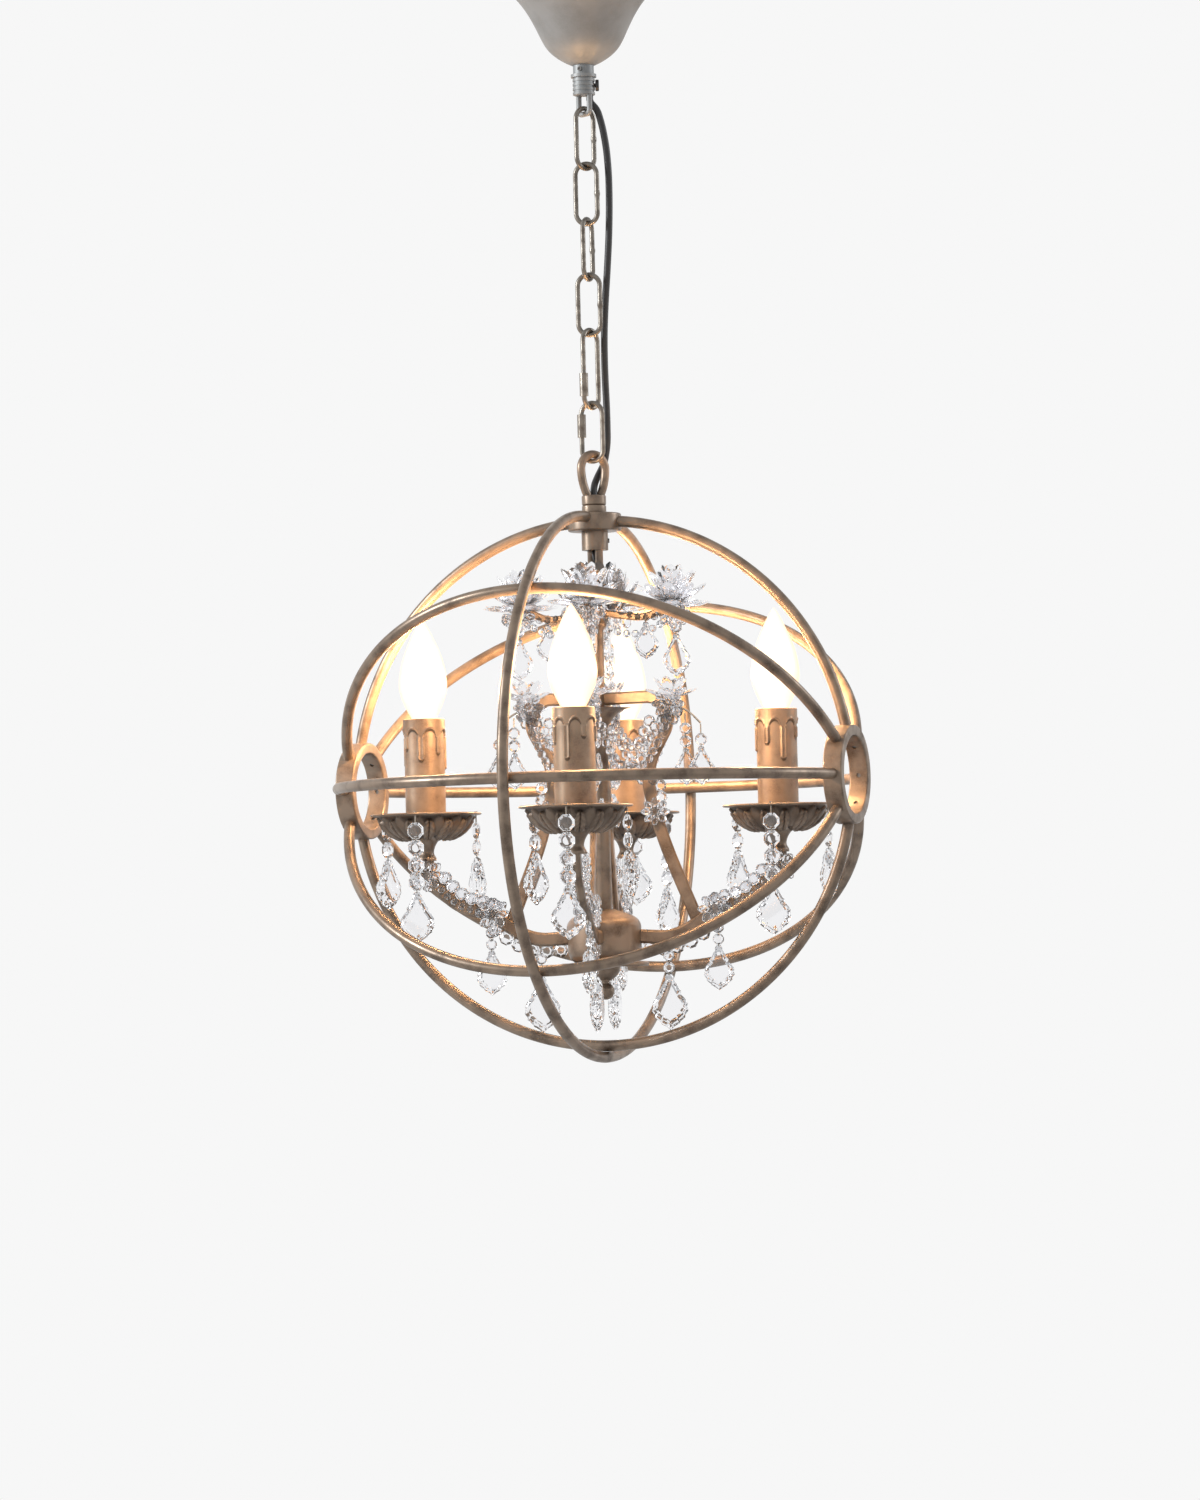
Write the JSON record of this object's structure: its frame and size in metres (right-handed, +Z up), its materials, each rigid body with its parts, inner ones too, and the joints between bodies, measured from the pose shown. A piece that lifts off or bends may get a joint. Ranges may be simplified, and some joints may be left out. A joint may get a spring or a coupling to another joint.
{
  "type": "orb chandelier",
  "caption": "Openwork sphere of crossed round hoops on a chain, holding curved arms with candle lamps, drip pans and hanging cut crystals.",
  "frame": {"origin": "centre of the two fixing slots of the ceiling bracket, on the ceiling's plane", "axes": "+Z up, through the chain and the orb's axis; +X through the orb's right side hub; -Y towards the room"},
  "size_m": [0.3834, 0.4002, 0.7766],
  "materials": {
    "frame_paint": "antique silver-champagne lacquer, brushed by hand, slightly mottled",
    "chain_finish": "antique silver-champagne lacquer, worn brighter where links touch",
    "canopy_silver": "satin silver-grey lacquer",
    "black_plastic": "black PVC sheath",
    "crystal": "clear cut glass with silver pins",
    "bulb_glass": "frosted, lit warm",
    "steel": "zinc-plated",
    "brass": "plain turned brass",
    "block_plastic": "moulded",
    "holder_plastic": "heat-proof, moulded"
  },
  "bodies": {
    "ceiling": {"ceiling_bracket": "steel", "canopy_nipple": "brass", "nipple_nuts": "brass", "canopy": "canopy_silver", "canopy_collar": "canopy_silver", "canopy_set_screw": "steel", "suspension_yoke": "canopy_silver", "terminal_block": "block_plastic", "terminal_screws": "steel", "canopy_cable": "black_plastic"},
    "clamp_screw": {"cord_clamp_screw": "black_plastic"},
    "chain": {"chain_links": "chain_finish", "quick_link_upper": "chain_finish", "quick_link_lower": "chain_finish", "supply_cable": "black_plastic"},
    "upper_nut": {"upper_link_nut": "chain_finish"},
    "lower_nut": {"lower_link_nut": "chain_finish"},
    "orb": {"arm_cups": "frame_paint", "arms": "frame_paint", "bottom_finial": "frame_paint", "bottom_plate": "frame_paint", "candle_sleeves": "frame_paint", "centre_column": "frame_paint", "cross_hoop": "frame_paint", "crown_arms": "frame_paint", "crown_bell": "frame_paint", "crystal_trim": "crystal", "drip_pans": "frame_paint", "horizontal_hoop": "frame_paint", "hub_disc": "frame_paint", "hub_nipple": "brass", "hub_screws": "steel", "lampholders": "holder_plastic", "loop_collar": "frame_paint", "lower_body": "frame_paint", "lyre_bars": "frame_paint", "mid_cup": "frame_paint", "side_hubs": "frame_paint", "stem_collar": "frame_paint", "stem_set_screw": "steel", "stem_wires": "black_plastic", "tilted_hoops": "frame_paint", "top_loop": "frame_paint", "vertical_hoop": "frame_paint"},
    "bulb_front": {"bulb_front": "bulb_glass"},
    "bulb_right": {"bulb_right": "bulb_glass"},
    "bulb_rear": {"bulb_rear": "bulb_glass"},
    "bulb_left": {"bulb_left": "bulb_glass"},
    "pendant_front_1": {"pendant_front_1": "crystal"},
    "pendant_front_2": {"pendant_front_2": "crystal"},
    "pendant_front_3": {"pendant_front_3": "crystal"},
    "pendant_right_1": {"pendant_right_1": "crystal"},
    "pendant_right_2": {"pendant_right_2": "crystal"},
    "pendant_right_3": {"pendant_right_3": "crystal"},
    "pendant_rear_1": {"pendant_rear_1": "crystal"},
    "pendant_rear_2": {"pendant_rear_2": "crystal"},
    "pendant_rear_3": {"pendant_rear_3": "crystal"},
    "pendant_left_1": {"pendant_left_1": "crystal"},
    "pendant_left_2": {"pendant_left_2": "crystal"},
    "pendant_left_3": {"pendant_left_3": "crystal"}
  },
  "joints": [
    {"name": "clamp_screw_thread", "type": "slide", "parent": "ceiling", "child": "clamp_screw", "axis": [0.9397, 0.342, 0], "range_m": [0, 0.0025]},
    {"name": "chain_swing", "type": "hinge", "parent": "ceiling", "child": "chain", "pos_m": [0, 0, -0.095], "axis": [-0.8572, 0.515, 0], "range_deg": [-10, 10], "deforming": ["supply_cable"]},
    {"name": "upper_nut_thread", "type": "slide", "parent": "chain", "child": "upper_nut", "axis": [0, 0, 1], "range_m": [0, 0.012]},
    {"name": "lower_nut_thread", "type": "slide", "parent": "chain", "child": "lower_nut", "axis": [0, 0, -1], "range_m": [0, 0.0095]},
    {"name": "orb_swing", "type": "hinge", "parent": "chain", "child": "orb", "pos_m": [0, 0, -0.34545], "axis": [0.9998, -0.0175, 0], "range_deg": [-10, 10], "deforming": ["supply_cable"]},
    {"name": "bulb_front_thread", "type": "slide", "parent": "orb", "child": "bulb_front", "axis": [0, 0, 1], "range_m": [0, 0.011]},
    {"name": "bulb_right_thread", "type": "slide", "parent": "orb", "child": "bulb_right", "axis": [0, 0, 1], "range_m": [0, 0.011]},
    {"name": "bulb_rear_thread", "type": "slide", "parent": "orb", "child": "bulb_rear", "axis": [0, 0, 1], "range_m": [0, 0.011]},
    {"name": "bulb_left_thread", "type": "slide", "parent": "orb", "child": "bulb_left", "axis": [0, 0, 1], "range_m": [0, 0.011]},
    {"name": "pendant_front_1_swing", "type": "hinge", "parent": "orb", "child": "pendant_front_1", "pos_m": [-0.00911, -0.11175, -0.5956], "axis": [-0.342, -0.9397, 0], "range_deg": [-18, 6]},
    {"name": "pendant_front_2_swing", "type": "hinge", "parent": "orb", "child": "pendant_front_2", "pos_m": [0.05554, -0.10035, -0.5956], "axis": [-0.6428, 0.766, 0], "range_deg": [-18, 6]},
    {"name": "pendant_front_3_swing", "type": "hinge", "parent": "orb", "child": "pendant_front_3", "pos_m": [0.03309, -0.16204, -0.5956], "axis": [0.9848, 0.1736, 0], "range_deg": [-18, 6]},
    {"name": "pendant_right_1_swing", "type": "hinge", "parent": "orb", "child": "pendant_right_1", "pos_m": [0.0891, 0.03947, -0.5956], "axis": [-0.342, -0.9397, 0], "range_deg": [-18, 6]},
    {"name": "pendant_right_2_swing", "type": "hinge", "parent": "orb", "child": "pendant_right_2", "pos_m": [0.15375, 0.05087, -0.5956], "axis": [-0.6428, 0.766, 0], "range_deg": [-10, 6]},
    {"name": "pendant_right_3_swing", "type": "hinge", "parent": "orb", "child": "pendant_right_3", "pos_m": [0.13129, -0.01081, -0.5956], "axis": [0.9848, 0.1736, 0], "range_deg": [-18, 6]},
    {"name": "pendant_rear_1_swing", "type": "hinge", "parent": "orb", "child": "pendant_rear_1", "pos_m": [-0.05554, 0.10035, -0.5956], "axis": [0.6428, -0.766, 0], "range_deg": [-18, 6]},
    {"name": "pendant_rear_2_swing", "type": "hinge", "parent": "orb", "child": "pendant_rear_2", "pos_m": [-0.03309, 0.16204, -0.5956], "axis": [-0.9848, -0.1736, 0], "range_deg": [-18, 6]},
    {"name": "pendant_rear_3_swing", "type": "hinge", "parent": "orb", "child": "pendant_rear_3", "pos_m": [0.00911, 0.11175, -0.5956], "axis": [0.342, 0.9397, 0], "range_deg": [-18, 6]},
    {"name": "pendant_left_1_swing", "type": "hinge", "parent": "orb", "child": "pendant_left_1", "pos_m": [-0.16033, -0.01355, -0.5956], "axis": [-0.342, -0.9397, 0], "range_deg": [-6, 6]},
    {"name": "pendant_left_2_swing", "type": "hinge", "parent": "orb", "child": "pendant_left_2", "pos_m": [-0.09568, -0.00215, -0.5956], "axis": [-0.6428, 0.766, 0], "range_deg": [-18, 6]},
    {"name": "pendant_left_3_swing", "type": "hinge", "parent": "orb", "child": "pendant_left_3", "pos_m": [-0.11813, -0.06383, -0.5956], "axis": [0.9848, 0.1736, 0], "range_deg": [-18, 6]}
  ]
}
